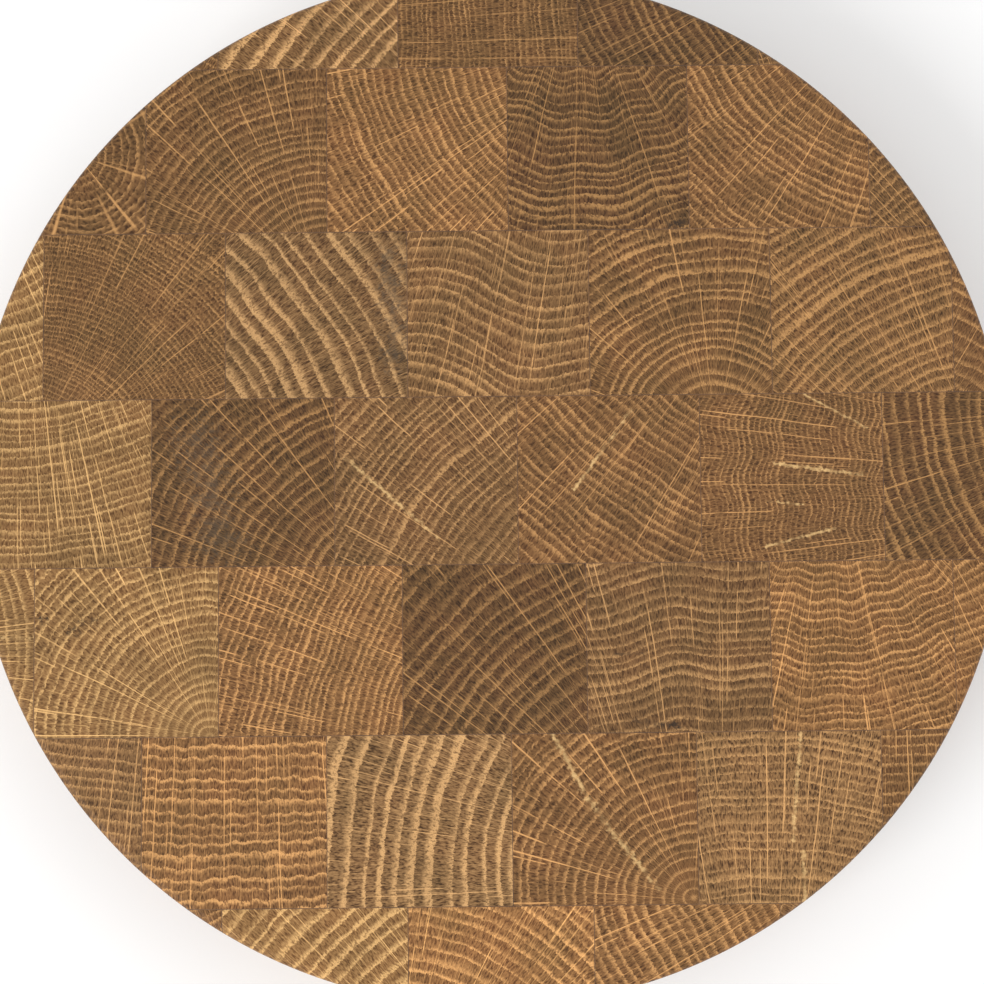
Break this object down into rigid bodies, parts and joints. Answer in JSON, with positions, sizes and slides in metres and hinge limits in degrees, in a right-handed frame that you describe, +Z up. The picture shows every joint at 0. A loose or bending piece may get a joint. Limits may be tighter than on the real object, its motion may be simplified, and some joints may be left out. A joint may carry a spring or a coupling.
{
  "type": "round chopping block",
  "caption": "Round end-grain oak chopping block: short blocks glued in staggered rows, turned to a flat disc with softly rounded rim edges.",
  "frame": {"origin": "centre of the flat underside", "axes": "+Z up out of the working face, X along the rows of blocks, +Y across the rows towards row 1"},
  "size_m": [0.3, 0.3, 0.05],
  "materials": {
    "oak_straw": "pale end grain of oak, sanded and oiled, satin",
    "oak_tan": "tan end grain of oak, sanded and oiled, satin",
    "oak_amber": "warm orange end grain of oak, sanded and oiled, satin",
    "oak_umber": "mid-brown end grain of oak, sanded and oiled, satin",
    "oak_dark": "dark brown end grain of oak, sanded and oiled, satin",
    "glue": "cured brown wood glue, flush with the wood"
  },
  "bodies": {
    "root": {"row_1_block_1": "oak_umber", "row_1_block_2": "oak_tan", "row_1_block_3": "oak_umber", "row_1_block_4": "oak_dark", "row_1_block_5": "oak_umber", "row_2_block_1": "oak_umber", "row_2_block_2": "oak_umber", "row_2_block_3": "oak_amber", "row_2_block_4": "oak_dark", "row_2_block_5": "oak_amber", "row_2_block_6": "oak_umber", "row_3_block_1": "oak_straw", "row_3_block_2": "oak_umber", "row_3_block_3": "oak_tan", "row_3_block_4": "oak_tan", "row_3_block_5": "oak_umber", "row_3_block_6": "oak_umber", "row_3_block_7": "oak_amber", "row_4_block_1": "oak_straw", "row_4_block_2": "oak_dark", "row_4_block_3": "oak_tan", "row_4_block_4": "oak_amber", "row_4_block_5": "oak_amber", "row_4_block_6": "oak_dark", "row_5_block_1": "oak_straw", "row_5_block_2": "oak_straw", "row_5_block_3": "oak_amber", "row_5_block_4": "oak_dark", "row_5_block_5": "oak_tan", "row_5_block_6": "oak_amber", "row_5_block_7": "oak_amber", "row_6_block_1": "oak_tan", "row_6_block_2": "oak_amber", "row_6_block_3": "oak_straw", "row_6_block_4": "oak_amber", "row_6_block_5": "oak_tan", "row_6_block_6": "oak_umber", "row_7_block_1": "oak_amber", "row_7_block_2": "oak_straw", "row_7_block_3": "oak_amber", "row_7_block_4": "oak_amber", "row_7_block_5": "oak_tan", "row_glue": "glue", "block_glue": "glue"}
  },
  "joints": []
}
